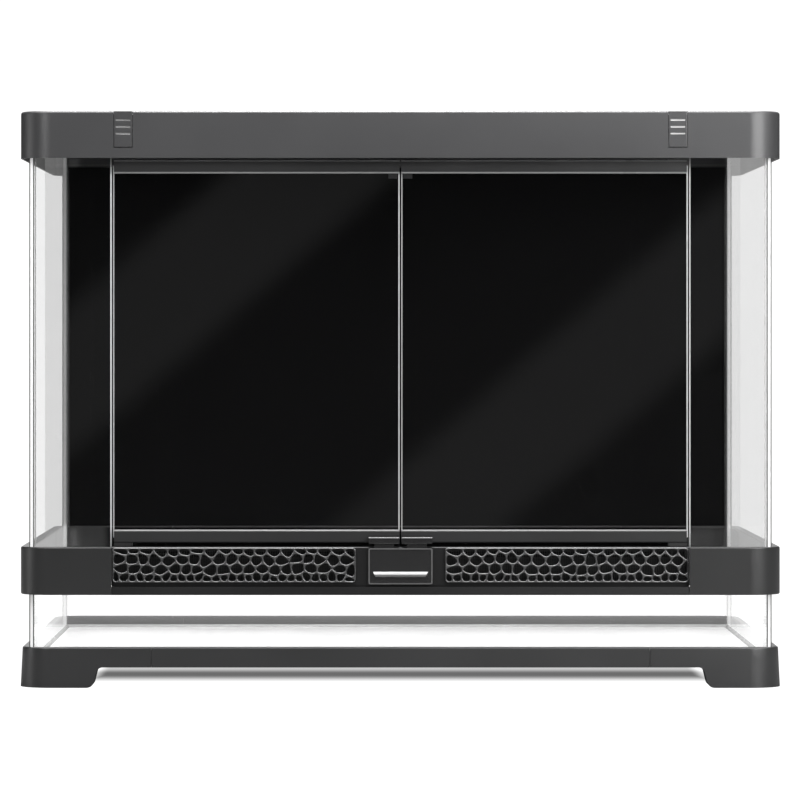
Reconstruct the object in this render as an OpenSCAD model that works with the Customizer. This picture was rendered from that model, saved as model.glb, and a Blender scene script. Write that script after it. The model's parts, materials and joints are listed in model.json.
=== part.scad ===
// Front-opening reptile terrarium: a glass tank in three plastic frames.
// Millimetres. X to the right, Y to the back, Z up. Origin: middle of the footprint, on the ground.

/* [Tank] */
// Overall width, across the feet
tank_w = 609; // [520:1:900]
// Overall depth, across the feet
tank_d = 454; // [380:1:620]
// Overall height, to the top rim
tank_h = 460; // [400:1:900]
// Radius of the frames' upright corners
corner_r = 26; // [18:0.5:28]
// Wall of the moulded frames
wall = 2; // [1.6:0.1:2.6]

/* [Glass] */
// Thickness of every pane
glass_t = 4; // [3:0.5:5]
// From the tank's side to the side panes
glass_inset_x = 7.7; // [5:0.1:9]
// From the tank's front and back to the panes there
glass_inset_y = 12.5; // [11.5:0.1:16]
// Joint between two panes, filled with silicone
pane_joint = 0.4; // [0.2:0.1:1]
// Leg of the silicone seams
bead = 2.5; // [2:0.5:5]

/* [Base] */
// Height of the base frame
base_h = 32; // [26:0.5:50]
// Height of the feet below the rails
foot_h = 16.3; // [10:0.1:22]
// Length of a foot's sole, from the corner along each side
foot_l = 54; // [45:1:90]
// Width of a foot's underside
foot_w = 22; // [16:1:30]
// How far the base leans in from its foot to its top edge
base_lean = 1.5; // [0:0.1:3]
// Length of a base end piece, from the tank's side to its seam
base_end_l = 105.7; // [90:0.1:140]
// Width of the ledge that carries the floor
ledge_w = 26; // [20:1:40]

/* [Belt and vent strip] */
// Height of the belt's lower edge
belt_z = 74; // [60:0.5:120]
// Height of the belt
belt_h = 38; // [34:0.5:60]
// From the tank's side to the front opening, which holds the doors and the vent housing
opening_from_side = 73.8; // [62:0.1:110]
// Gap between the latch plate and the grille beside it
grille_gap = 10; // [6:0.5:20]
// Cells in each of a grille's upper rows; the lowest row has half as many again
grille_columns = 19; // [12:1:24]
// Width of the ribs between the cells
rib_w = 1.3; // [1:0.1:2.5]

/* [Latch] */
// Width of the latch plate
latch_w = 51.2; // [40:0.2:60]
// Way that the plate goes down
latch_travel = 4; // [2:0.5:4.5]
// Width of the finger ledge
ledge_bar_w = 44; // [30:1:48]

/* [Doors] */
// Gap between the two doors
door_gap = 1.4; // [1:0.1:3]
// Gap between a door's glass and the opening's side
side_gap = 0.9; // [0.7:0.1:2]
// Gap under the doors
sill_gap = 3.4; // [2.6:0.1:6]
// Gap above the doors
head_gap = 1.7; // [1.4:0.1:4]
// Height of a door's rails
rail_h = 10.4; // [9:0.2:16]
// Thickness of a door's rails
rail_t = 10; // [9:0.2:12]
// Diameter of the hinge pins
pin_d = 3; // [2:0.1:3.6]
// From the outer edge of a door's glass to its pivot
pivot_inset = 8.3; // [7:0.1:9]

/* [Top frame and lid] */
// Height of the top frame
top_h = 37.5; // [36:0.5:60]
// Width of the top rim
rim_w = 10; // [9:0.5:16]
// Width of the top frame's bars, seen from above
bar_w = 22; // [20:1:40]
// Height of the lid frame
lid_h = 8; // [6:0.5:10]
// Width of the lid frame's bars
lid_bar_w = 16; // [13:1:30]
// Thickness of the lid's mesh
mesh_t = 0.6; // [0.4:0.1:1]
// Width of a lid clip
clip_w = 14.4; // [10:0.2:16]
// Height of a lid clip
clip_l = 28.5; // [24:0.5:30]
// Width of a cable inlet's window
inlet_w = 14; // [8:1:18]
// Height of a cable inlet's window
inlet_h = 8; // [6:0.5:9]

/* [Hidden] */
$fn = 48;

// Clearances
seal = 0.1;        // between a pane and the frame that holds it
seam = 0.3;        // between two pieces that are clipped together
slip = 0.2;        // round a piece that slides
free = 0.5;        // round a piece that is lifted out
pin_slip = 0.06;   // round a hinge pin in the door
pin_seat = 0.02;   // round a hinge pin in its frame
eps = 1;           // how far a cut runs past a face
lap = 0.6;         // how far a ledge or lip runs into the wall that carries it

// Colours
frame_black = [0.20, 0.20, 0.20];
dark = [0.12, 0.12, 0.12];
glass_tint = [0.85, 0.92, 0.92, 0.35];
silicone_tint = [0.90, 0.92, 0.92, 0.6];
steel = [0.65, 0.66, 0.68];

// Main planes
half_w = tank_w / 2;
half_d = tank_d / 2;
glass_x = half_w - glass_inset_x;
glass_y = half_d - glass_inset_y;
inner_x = glass_x - glass_t;
inner_y = glass_y - glass_t;
half_open = half_w - opening_from_side;

// Base
base_lip_t = 2;
ledge_t = 2.1;
ledge_z = foot_h + ledge_t;
floor_top = ledge_z + glass_t;
foot_toe_r = 6.5;
foot_arch_r = 5;
foot_arch_l = 13;
foot_wall = 2.2;
base_wall = base_lean + wall + 0.4;
base_seam_x = half_w - base_end_l;
tab_l = 9;
tab_t = 1.6;

// Belt
belt_inset = 0.2;
belt_lip_t = 2;
belt_top = belt_z + belt_h;
belt_face = half_d - belt_inset;
lower_glass_in_belt = 6;
lower_glass_top = belt_z + lower_glass_in_belt;

// Vent housing: planes counted back from the belt's front face
trough_depth = 6.3;
lip_h = 6.5;
lip_t = 1;
lip_slope = 1.5;
housing_wall = 2.2;
air_gap = 6.8;
housing_face = -belt_face + trough_depth;
housing_back = housing_face + housing_wall;
web_z = lower_glass_top + seal;
grille_t = 2.8;
grille_border = 1.1;
grille_foot = 9.6;
grille_h = belt_h - grille_foot - 0.4;
grille_out = half_open - 0.6;
grille_in = latch_w / 2 + grille_gap;
grille_z = belt_z + grille_foot;
grille_r = 3;
window_margin = 1.8;
vent_mesh_t = 0.5;
vent_mesh_lap = 0.7;
vent_mesh_columns = 12;
vent_mesh_rows = 2;
vent_mesh_bar = 1.2;
window_z = [grille_z + window_margin, belt_top - housing_wall - vent_mesh_lap];

// Latch
latch_t = 3;
latch_rim_t = 0.5;
latch_rim_w = 1.1;
latch_z = belt_z + 8.4;
latch_h = belt_h - 9.1;
latch_face = housing_face - slip - latch_t;
stem_w = 16;
stem_h = 6;
stem_rise = 12.5;
stem_z = latch_z + stem_rise;
flange_w = 26;
flange_t = 1.8;
ledge_bar_rise = 5.9;
ledge_bar_z = latch_z + ledge_bar_rise;
ledge_bar_h = 4.2;
ledge_bar_out = 2.4;
ledge_bar_r = 1.9;
nose_w = 16;
nose_t = 1.8;
spring_w = 20;
spring_t = 1;
spring_depth = 3;
spring_folds = 3;

// Doors
door_bottom = belt_top + sill_gap;
top_z = tank_h - top_h;
door_top = top_z - head_gap;
door_y = -glass_y + glass_t / 2;
door_outer = half_open - side_gap;
door_inner = door_gap / 2;
pivot_x = door_outer - pivot_inset;
pivot_y = door_y;
rail_floor = 3.5;
rail_outer = door_outer - 1;
boss_r = 4.6;
boss_gap = 0.3;
pin_r = pin_d / 2;
pin_in_rail = 2.6;
pin_in_frame = 8;
catch_w = 24.5;
catch_h = 5.6;
catch_drop = 0.8;
catch_out = 7;
catch_r = 1.8;

// Top frame
top_inset = 0.2;
top_half_w = half_w - top_inset;
top_half_d = half_d - top_inset;
rim_t = 2.7;
shelf_t = 2.5;
lid_sink = 10.5;
shelf_z = tank_h - lid_sink;
skirt_t = 2.5;
skirt_h = 9;
head_plate_t = 2.5;
glass_top = shelf_z - shelf_t - 2;
rear_glass_in_frame = 9.5;
rear_glass_top = top_z + rear_glass_in_frame;
stop_w = 7.2;
stop_x = 6;
stop_drop = 15.7;

// Lid
lid_half_w = top_half_w - rim_w - free;
lid_half_d = top_half_d - rim_w - free;
lid_z = shelf_z;
lid_lip_t = 2.5;
lid_middle_bar = 14;

// Lid clips
clip_x = half_open - 9.6;
clip_top = tank_h - 0.3;
clip_foot = clip_top - clip_l;
clip_t = 2.4;
clip_foot_gap = 0.6;
hook_t = 1.8;
grip_pitch = 5.4;

// Cable inlets, in the back of the top frame
inlet_z = shelf_z - shelf_t - inlet_h / 2;
inlet_from_side = [116.5, 66.5];
track_lip = 1.2;
track_depth = 2.9;
track_floor = 2.4;
shutter_t = 1.5;
shutter_margin = 3;
shutter_overlap = 1.5;
shutter_h = inlet_h + 2 * shutter_overlap;
shutter_w = inlet_w + 2 * shutter_margin;
shutter_travel = inlet_w + shutter_margin;

// Panel
panel_t = 3;
panel_half_w = glass_x - 1;

// ---------- helpers ----------

// A rectangle of half sizes x and y, its corners rounded by r
module plan(x, y, r) {
    if (r > 0.01) {
        square([2 * (x - r), 2 * y], center = true);
        square([2 * x, 2 * (y - r)], center = true);
        for (i = [-1, 1], j = [-1, 1])
            translate([i * (x - r), j * (y - r)]) circle(r);
    } else {
        square([2 * x, 2 * y], center = true);
    }
}

// A flat slab with that outline, from height z0 to z1
module slab(x, y, r, z0, z1) {
    translate([0, 0, z0]) linear_extrude(z1 - z0) plan(x, y, r);
}

// A frame swept round the tank: the section's points are [way in from the outer face, height]
module sweep_round(x, y, r, section) {
    drawn = [for (p = section) [r - p[0], p[1]]];
    for (i = [0:3]) {
        long = i % 2 == 0 ? 2 * (y - r) : 2 * (x - r);
        out = i % 2 == 0 ? x - r : y - r;
        rotate([0, 0, 90 * i]) translate([out, long / 2, 0])
            rotate([90, 0, 0]) linear_extrude(long) polygon(drawn);
    }
    for (i = [0:3]) {
        sx = (i == 0 || i == 3) ? 1 : -1;
        sy = i < 2 ? 1 : -1;
        translate([sx * (x - r), sy * (y - r), 0]) rotate([0, 0, 90 * i])
            rotate_extrude(angle = 90) polygon(drawn);
    }
}

// A solid box from corner a to corner b
module block(a, b) {
    translate(a) cube(b - a);
}

// An outline in Y and Z, drawn from x0 to x1
module side_profile(x0, x1, points) {
    translate([x0, 0, 0]) rotate([90, 0, 90]) linear_extrude(x1 - x0) polygon(points);
}

// A field w by h of openings in columns and rows, with bars between them
module openings(w, h, columns, rows, bar) {
    pitch = [(w + bar) / columns, (h + bar) / rows];
    for (i = [0:columns - 1], j = [0:rows - 1])
        translate([(i + 0.5) * pitch[0] - (w + bar) / 2, (j + 0.5) * pitch[1] - (h + bar) / 2])
            square([pitch[0] - bar, pitch[1] - bar], center = true);
}

// The space that the glass box takes between two heights
module glass_core(z0, z1) {
    block([-glass_x - seal, -glass_y - seal, z0], [glass_x + seal, glass_y + seal, z1]);
}

function arc(centre, r, a0, a1, steps) =
    [for (i = [0:steps]) let (a = a0 + (a1 - a0) * i / steps) centre + r * [cos(a), sin(a)]];

function mirrored(points) = [for (i = [len(points) - 1:-1:0]) [-points[i][0], points[i][1]]];

// ---------- base ----------

// The inner edge of a foot, from the sole up to the rail, at half length half_l, moved out by shift
function foot_edge(half_l, shift) =
    [for (p = concat(
        [[foot_l, -eps]],
        arc([foot_l, foot_toe_r], foot_toe_r, -90, -12, 6),
        arc([foot_l + foot_arch_l, foot_h - foot_arch_r], foot_arch_r, 168, 90, 6)))
        [half_l - p[0] + shift, p[1]]];

// The gap under a rail, between two feet
module foot_gap(half_l, shift) {
    edge = foot_edge(half_l, shift);
    polygon(concat(edge, mirrored(edge)));
}

module base_ring() {
    top_edge = base_h - 1.5;
    inside = base_wall - lap;
    section = [
        [0, 0], [base_lean, top_edge], [base_lean + 0.4, top_edge + 1], [base_lean + 1.4, base_h],
        [base_wall, base_h], [base_wall, 0]
    ];
    difference() {
        union() {
            sweep_round(half_w, half_d, corner_r, section);
            // lip against the glass
            slab(half_w - inside, half_d - inside, corner_r - inside, base_h - base_lip_t, base_h);
            // ledge under the glass
            slab(half_w - inside, half_d - inside, corner_r - inside, foot_h, ledge_z);
            feet();
        }
        slab(half_w - ledge_w, half_d - ledge_w, 6, -eps, ledge_z + eps);
        glass_core(ledge_z, base_h + eps);
        rotate([90, 0, 0]) linear_extrude(2 * tank_d, center = true) foot_gap(half_w, 0);
        rotate([90, 0, 90]) linear_extrude(2 * tank_w, center = true) foot_gap(half_d, 0);
    }
}

// The feet's inner walls and ribs; the gaps between them are cut with the rest of the ring
module feet() {
    inner_r = max(corner_r - foot_w, 1);
    difference() {
        slab(half_w - 1, half_d - 1, corner_r - 1, 0, foot_h);
        slab(half_w - foot_w, half_d - foot_w, inner_r, -eps, foot_h + eps);
        // pockets that leave an outer wall, an inner wall and a wall at each end
        difference() {
            slab(half_w - base_wall, half_d - base_wall, corner_r - base_wall, -eps, foot_h);
            slab(half_w - foot_w + foot_wall, half_d - foot_w + foot_wall, inner_r, -2 * eps, foot_h + eps);
            rotate([90, 0, 0]) linear_extrude(2 * tank_d, center = true) foot_gap(half_w, foot_wall);
            rotate([90, 0, 90]) linear_extrude(2 * tank_w, center = true) foot_gap(half_d, foot_wall);
            foot_ribs();
        }
    }
}

module foot_ribs() {
    for (i = [-1, 1], j = [-1, 1]) {
        for (k = [0, 1]) {
            along = corner_r + k * (foot_l - corner_r) / 2;
            translate([i * (half_w - along), j * half_d, 0]) cube([foot_wall, 2 * foot_w, 3 * foot_h], center = true);
            translate([i * half_w, j * (half_d - along), 0]) cube([2 * foot_w, foot_wall, 3 * foot_h], center = true);
        }
    }
}

// Cuts a frame into its end piece on one side, from the seam outwards
module end_piece(side, seam_x, z1) {
    intersection() {
        children();
        block([side > 0 ? seam_x + seam / 2 : -half_w - eps, -half_d - eps, -eps],
              [side > 0 ? half_w + eps : -seam_x - seam / 2, half_d + eps, z1 + eps]);
    }
}

module rail_piece(side, seam_x, z1) {
    intersection() {
        children();
        block([-seam_x + seam / 2, side > 0 ? 0 : -half_d - eps, -eps],
              [seam_x - seam / 2, side > 0 ? half_d + eps : 0, z1 + eps]);
    }
}

module base_end(side) {
    color(frame_black) end_piece(side, base_seam_x, base_h) base_ring();
}

// Tabs behind a rail's two seams, fixed to the rail and free in the end pieces
module splice_tabs(side, wall_y, z0, z1) {
    for (i = [-1, 1]) {
        x = i * base_seam_x;
        translate([x, side * (wall_y - slip - tab_t / 2), (z0 + z1) / 2])
            cube([2 * tab_l, tab_t, z1 - z0], center = true);
        // the pad that joins the tab to the rail's wall
        translate([x - i * (tab_l + seam) / 2, side * (wall_y - tab_t / 2), (z0 + z1) / 2])
            cube([tab_l - seam, tab_t + 2 * slip, z1 - z0], center = true);
    }
}

module base_rail(side) {
    color(frame_black) {
        rail_piece(side, base_seam_x, base_h) base_ring();
        splice_tabs(side, half_d - base_wall, ledge_z + slip, base_h - base_lip_t - slip);
    }
}

// ---------- glass ----------

module floor_glass() {
    color(glass_tint)
        block([-inner_x + pane_joint, -inner_y + pane_joint, ledge_z],
              [inner_x - pane_joint, inner_y - pane_joint, floor_top]);
}

module side_glass(side) {
    color(glass_tint) translate([side * (inner_x + glass_t / 2), 0, (ledge_z + glass_top) / 2])
        cube([glass_t, 2 * glass_y, glass_top - ledge_z], center = true);
}

module rear_glass() {
    color(glass_tint)
        block([-inner_x + pane_joint, inner_y, ledge_z], [inner_x - pane_joint, glass_y, rear_glass_top]);
}

module lower_front_glass() {
    color(glass_tint)
        block([-inner_x + pane_joint, -glass_y, ledge_z], [inner_x - pane_joint, -inner_y, lower_glass_top]);
}

module front_pane(side) {
    x0 = half_open + seam;
    x1 = inner_x - pane_joint;
    color(glass_tint) translate([side * (x0 + x1) / 2, -glass_y + glass_t / 2, 0])
        translate([0, 0, (lower_glass_top + pane_joint + glass_top) / 2])
            cube([x1 - x0, glass_t, glass_top - lower_glass_top - pane_joint], center = true);
}

// Seams round the floor, in the corner between it and the walls
module silicone_floor() {
    z1 = floor_top + bead;
    color(silicone_tint) intersection() {
        union() {
            for (s = [-1, 1]) {
                side_profile(-inner_x, inner_x, [
                    [s * inner_y, floor_top], [s * (inner_y - bead), floor_top], [s * inner_y, z1]
                ]);
                rotate([0, 0, 90]) side_profile(-inner_y, inner_y, [
                    [s * inner_x, floor_top], [s * (inner_x - bead), floor_top], [s * inner_x, z1]
                ]);
            }
        }
        block([-inner_x, -inner_y, floor_top], [inner_x, inner_y, z1]);
    }
}

// Seams up the four inner corners
module silicone_corners() {
    z0 = floor_top + bead;
    z1 = [lower_glass_top, rear_glass_top];
    color(silicone_tint) for (i = [-1, 1], j = [0, 1]) {
        y = (2 * j - 1) * inner_y;
        step = -(2 * j - 1) * bead;
        translate([0, 0, z0]) linear_extrude(z1[j] - z0)
            polygon([[i * inner_x, y], [i * (inner_x - bead), y], [i * inner_x, y + step]]);
    }
}

module background_panel() {
    y0 = glass_y + 0.2;
    color(dark) block([-panel_half_w, y0, belt_top], [panel_half_w, y0 + panel_t, rear_glass_top - 2]);
}

// ---------- belt ----------

module belt_ring() {
    x = half_w - belt_inset;
    inside = wall - lap;
    section = [
        [0.5, belt_z], [0, belt_z + 1], [0, belt_top - 1.2], [0.35, belt_top - 0.35], [1.2, belt_top],
        [wall, belt_top], [wall, belt_z]
    ];
    difference() {
        union() {
            sweep_round(x, belt_face, corner_r, section);
            slab(x - inside, belt_face - inside, corner_r - inside, belt_top - belt_lip_t, belt_top);
            slab(x - inside, belt_face - inside, corner_r - inside, belt_z, belt_z + belt_lip_t);
        }
        glass_core(belt_z - eps, belt_top + eps);
    }
}

module belt_end(side) {
    color(frame_black) difference() {
        end_piece(side, base_seam_x, belt_top) belt_ring();
        block([-half_open - seam, -half_d - eps, belt_z - eps], [half_open + seam, 0, belt_top + eps]);
    }
}

module belt_rear() {
    color(frame_black) {
        rail_piece(1, base_seam_x, belt_top) belt_ring();
        splice_tabs(1, belt_face - wall, belt_z + belt_lip_t + slip, belt_top - belt_lip_t - slip);
    }
}

// ---------- vent housing, grilles and mesh ----------

module vent_housing() {
    front = -belt_face;
    lip_back = front + lip_slope + lip_t;
    back = -inner_y + 4;
    // the air goes in over a baffle, which hides the inside
    baffle_z = belt_top - housing_wall - air_gap;
    x = half_open - seam / 2;
    section = [
        [front + 0.5, belt_z], [front, belt_z + 1], [front + lip_slope, belt_z + lip_h],
        [lip_back, belt_z + lip_h], [lip_back, belt_z + housing_wall], [housing_face, belt_z + housing_wall],
        [housing_face, belt_top - 0.6], [housing_face + 0.6, belt_top],
        [back, belt_top], [back, belt_top - housing_wall], [housing_back, belt_top - housing_wall],
        [housing_back, web_z + housing_wall], [back - housing_wall, web_z + housing_wall],
        [back - housing_wall, baffle_z], [back, baffle_z], [back, belt_z],
        [-inner_y + seal, belt_z], [-inner_y + seal, web_z], [-glass_y - seal, web_z], [-glass_y - seal, belt_z]
    ];
    color(dark) difference() {
        union() {
            side_profile(-x, x, section);
            for (s = [-1, 1]) {
                x0 = s > 0 ? x - housing_wall : -x;
                // end walls of the trough and of the chamber behind the grilles
                block([x0, lip_back - lap, belt_z + eps], [x0 + housing_wall, housing_face + lap, belt_z + lip_h]);
                block([x0, housing_face + lap, web_z + lap], [x0 + housing_wall, back - lap, belt_top - lap]);
                translate([s * pivot_x, pivot_y, belt_top - pin_in_frame - 1])
                    cylinder(r = boss_r, h = pin_in_frame + 1);
            }
        }
        for (s = [-1, 1]) {
            translate([s * pivot_x, pivot_y, belt_top - pin_in_frame]) cylinder(r = pin_r + pin_seat, h = pin_in_frame + eps);
            grille_window(s);
        }
        // slot for the latch's stem
        block([-stem_w / 2 - slip, housing_face - eps, stem_z - latch_travel - slip],
              [stem_w / 2 + slip, housing_back + eps, stem_z + stem_h + slip]);
    }
}

// The opening behind a grille
module grille_window(side) {
    x0 = grille_in + window_margin;
    x1 = grille_out - window_margin;
    translate([side * (x0 + x1) / 2, housing_face + housing_wall / 2, (window_z[0] + window_z[1]) / 2])
        cube([x1 - x0, housing_wall + 2 * eps, window_z[1] - window_z[0]], center = true);
}

// The mesh behind that opening, drawn as a wider grid and laid against the housing's wall
module vent_mesh(side) {
    x0 = grille_in + window_margin - vent_mesh_lap;
    x1 = grille_out - window_margin;
    z0 = window_z[0] - vent_mesh_lap;
    z1 = belt_top - housing_wall - seal;
    color(steel) translate([side * (x0 + x1) / 2, housing_back + vent_mesh_t, (z0 + z1) / 2])
        rotate([90, 0, 0]) linear_extrude(vent_mesh_t) difference() {
            square([x1 - x0, z1 - z0], center = true);
            openings(x1 - x0 - 2 * vent_mesh_bar, z1 - z0 - 2 * vent_mesh_bar,
                     vent_mesh_columns, vent_mesh_rows, vent_mesh_bar);
        }
}

// What is left of an outline on the near side of a line through m, with n pointing away
function clip_outline(points, m, n) = [
    for (i = [0:len(points) - 1])
        let (a = points[i], b = points[(i + 1) % len(points)], da = (a - m) * n, db = (b - m) * n)
            each concat(da <= 0 ? [a] : [], da * db < 0 ? [a + (b - a) * da / (da - db)] : [])
];

// The cell round a seed: the outline cut back to half a rib short of half way to each neighbour
function pebble(points, seed, others, i = 0) =
    i >= len(others) || len(points) < 3 ? points :
    let (way = others[i] - seed, n = way / norm(way))
        pebble(clip_outline(points, seed + way / 2 - n * rib_w / 2, n), seed, others, i + 1);

// Corners cut at a quarter and three quarters of each side, passes times over
function rounded(points, passes) = passes == 0 ? points :
    rounded([for (i = [0:len(points) - 1])
        let (a = points[i], b = points[(i + 1) % len(points)])
            each [0.75 * a + 0.25 * b, 0.25 * a + 0.75 * b]], passes - 1);

// Seeds in staggered rows, each shaken out of its place: the cells get smaller downwards
pebble_rows = [[0.06, 1.5], [0.35, 1], [0.67, 1], [0.97, 1]];
function pebble_seeds(w, h, key) =
    [for (r = [0:len(pebble_rows) - 1])
        let (row = pebble_rows[r], count = round(grille_columns * row[1]), pitch = w / count,
             stagger = r % 2 == 0 ? 0.3 : 0.7, shake = rands(-0.5, 0.5, 2 * count, key + 10 * r))
            for (c = [0:count - 1])
                [(c + stagger + 0.42 * shake[2 * c]) * pitch, (row[0] + 0.13 * shake[2 * c + 1]) * h]];

function pebbles(w, h, key) =
    let (seeds = pebble_seeds(w, h, key), reach = 2.6 * max(w / grille_columns, h / 3),
         field = [[0, 0], [w, 0], [w, h], [0, h]])
    [for (s = seeds)
        let (cell = pebble(field, s, [for (o = seeds) if (o != s && norm(o - s) < reach) o]))
            if (len(cell) > 2) rounded(cell, 2)];

// An insert of rounded pebble cells in a thin border
module vent_grille(side) {
    w = grille_out - grille_in;
    field_w = w - 2 * grille_border;
    field_h = grille_h - 2 * grille_border;
    corner = [grille_border, grille_border];
    color(dark) translate([side > 0 ? grille_in : -grille_out, housing_face, grille_z]) rotate([90, 0, 0])
        linear_extrude(grille_t) difference() {
            translate([w / 2, grille_h / 2]) plan(w / 2, grille_h / 2, grille_r);
            for (cell = pebbles(field_w, field_h, 40 + side))
                translate(corner) polygon(cell);
        }
}

// ---------- latch ----------

module latch_plate() {
    z1 = door_bottom - catch_drop - seam;
    color(frame_black) {
        difference() {
            union() {
                translate([0, latch_face + latch_t, latch_z + latch_h / 2]) rotate([90, 0, 0])
                    linear_extrude(latch_t) plan(latch_w / 2, latch_h / 2, 1.5);
                // stem through the housing and the flange that holds it there
                block([-stem_w / 2, latch_face + latch_t - 0.5, stem_z],
                      [stem_w / 2, housing_back + slip + flange_t, stem_z + stem_h]);
                block([-flange_w / 2, housing_back + slip, stem_z - 2],
                      [flange_w / 2, housing_back + slip + flange_t, stem_z + stem_h + 2]);
                // noses under the door catches
                for (s = [-1, 1]) translate([s * (door_inner + catch_w / 2), 0, 0])
                    block([-nose_w / 2, latch_face + latch_t - nose_t, latch_z + latch_h - 1],
                          [nose_w / 2, latch_face + latch_t, z1]);
            }
            // face sunk inside a thin rim
            translate([0, latch_face + latch_rim_t, latch_z + latch_h / 2]) rotate([90, 0, 0])
                linear_extrude(latch_rim_t + eps) plan(latch_w / 2 - latch_rim_w, latch_h / 2 - latch_rim_w, 0.8);
        }
        finger_ledge();
    }
}

// The bar to push down on, with mitred ends
module finger_ledge() {
    back = latch_face + latch_rim_t;
    out = latch_face - ledge_bar_out;
    z0 = ledge_bar_z;
    z1 = ledge_bar_z + ledge_bar_h;
    intersection() {
        side_profile(-ledge_bar_w / 2, ledge_bar_w / 2, concat(
            [[back + 0.5, z1]],
            arc([out + ledge_bar_r, z1 - ledge_bar_r], ledge_bar_r, 90, 195, 6),
            [[back, z0], [back + 0.5, z0]]
        ));
        rotate([90, 0, 0]) linear_extrude(2 * tank_d, center = true) polygon([
            [-ledge_bar_w / 2, z1], [ledge_bar_w / 2, z1],
            [ledge_bar_w / 2 - ledge_bar_h / 2, z0], [-ledge_bar_w / 2 + ledge_bar_h / 2, z0]
        ]);
    }
}

// A folded strip that lifts the latch, between the housing's web and the flange
module latch_spring() {
    z0 = web_z + housing_wall;
    pitch = (stem_z - 2 - z0 - spring_t) / spring_folds;
    color(steel) translate([0, housing_back + slip + spring_depth, z0]) rotate([90, 0, 0])
        linear_extrude(spring_depth) {
            for (i = [0:spring_folds])
                translate([-spring_w / 2, i * pitch]) square([spring_w, spring_t]);
            for (i = [0:spring_folds - 1])
                translate([i % 2 == 0 ? spring_w / 2 - spring_t : -spring_w / 2, i * pitch])
                    square([spring_t, pitch + spring_t]);
        }
}

// ---------- doors ----------

module door_glass(side) {
    z0 = door_bottom + rail_floor;
    z1 = door_top - rail_floor;
    color(glass_tint) translate([side * (door_inner + door_outer) / 2, door_y, (z0 + z1) / 2])
        cube([door_outer - door_inner, glass_t, z1 - z0], center = true);
}

// A rail that grips the glass's edge, drawn for the bottom of the left door
module rail_body() {
    half_t = rail_t / 2;
    slot = glass_t / 2 + seal;
    difference() {
        union() {
            side_profile(-rail_outer, -door_inner, [
                [-half_t + 0.8, 0], [half_t - 0.8, 0], [half_t, 0.8], [half_t, rail_h - 1.2],
                [half_t - 1.2, rail_h], [slot, rail_h], [slot, rail_floor], [-slot, rail_floor],
                [-slot, rail_h], [-half_t + 1.2, rail_h], [-half_t, rail_h - 1.2], [-half_t, 0.8]
            ]);
            children();
        }
        translate([-pivot_x, 0, -4 * eps - sill_gap]) cylinder(r = pin_r + pin_slip, h = sill_gap + 4 * eps + pin_in_rail);
    }
}

// The block at the rail's outer end that turns on the frame
module rail_boss(gap) {
    block([-rail_outer, -rail_t / 2 + 0.8, boss_gap - gap], [rail_outer - 2 * pivot_x, rail_t / 2 - 0.8, 1]);
}

module on_side(side) {
    if (side < 0) children(); else mirror([1, 0, 0]) children();
}

module door_bottom_rail(side) {
    color(frame_black) on_side(side) translate([0, door_y, door_bottom]) rail_body() rail_boss(sill_gap);
}

module door_top_rail(side) {
    color(frame_black) on_side(side) translate([0, door_y, door_top]) mirror([0, 0, 1])
        rail_body() rail_boss(head_gap);
}

// The lug that the latch's nose goes into
module door_catch(side) {
    front = door_y - rail_t / 2;
    z0 = door_bottom - catch_drop;
    z1 = z0 + catch_h;
    nose_y = latch_face + latch_t - nose_t;
    color(frame_black) on_side(side) difference() {
        side_profile(-door_inner - catch_w - 0.2, -door_inner - 0.2, concat(
            [[front, door_bottom + 0.8], [front, z1 + 1]],
            arc([front - catch_out + catch_r, z1 - catch_r], catch_r, 90, 180, 5),
            [[front - catch_out, z0 + 0.6], [front - catch_out + 0.6, z0], [front - 1, z0]]
        ));
        block([-door_inner - catch_w / 2 - nose_w / 2 - seam, nose_y - seam, z0 - eps],
              [-door_inner - catch_w / 2 + nose_w / 2 + seam, nose_y + nose_t + seam, z0 + 3]);
    }
}

module hinge_pins(side) {
    color(steel) translate([side * pivot_x, pivot_y, 0]) {
        translate([0, 0, belt_top - pin_in_frame]) cylinder(r = pin_r, h = pin_in_frame + sill_gap + pin_in_rail - 0.3);
        translate([0, 0, door_top - pin_in_rail + 0.3]) cylinder(r = pin_r, h = pin_in_frame + head_gap + pin_in_rail - 0.3);
    }
}

// ---------- top frame ----------

module top_frame() {
    rail_back = door_y + rail_t / 2;
    beam_back = -top_half_d + bar_w;
    color(frame_black) difference() {
        union() {
            sweep_round(top_half_w, top_half_d, corner_r, [
                [0, top_z], [0, tank_h - 2], [0.3, tank_h - 1.1], [0.9, tank_h - 0.4], [2, tank_h],
                [wall + 1, tank_h], [wall + 1, tank_h - rim_t], [wall, tank_h - rim_t], [wall, top_z]
            ]);
            top_rim();
            // beam over the doors
            block([-half_open, -top_half_d + wall / 2, top_z], [half_open, beam_back, top_z + head_plate_t]);
            block([-half_open, beam_back - skirt_t, top_z], [half_open, beam_back, shelf_z - lap]);
            // door stops
            for (s = [-1, 1]) translate([s * stop_x, 0, 0])
                block([-stop_w / 2, rail_back + seam, top_z - stop_drop], [stop_w / 2, beam_back, top_z + 1]);
            for (s = [-1, 1])
                translate([s * pivot_x, pivot_y, top_z]) cylinder(r = boss_r, h = pin_in_frame + 1);
            for (s = [-1, 1], d = inlet_from_side) inlet_track(s, d);
        }
        for (s = [-1, 1]) {
            translate([s * pivot_x, pivot_y, top_z - eps]) cylinder(r = pin_r + pin_seat, h = pin_in_frame + eps);
            clip_slot(s);
            for (d = inlet_from_side) inlet_cut(s, d);
        }
    }
}

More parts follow.
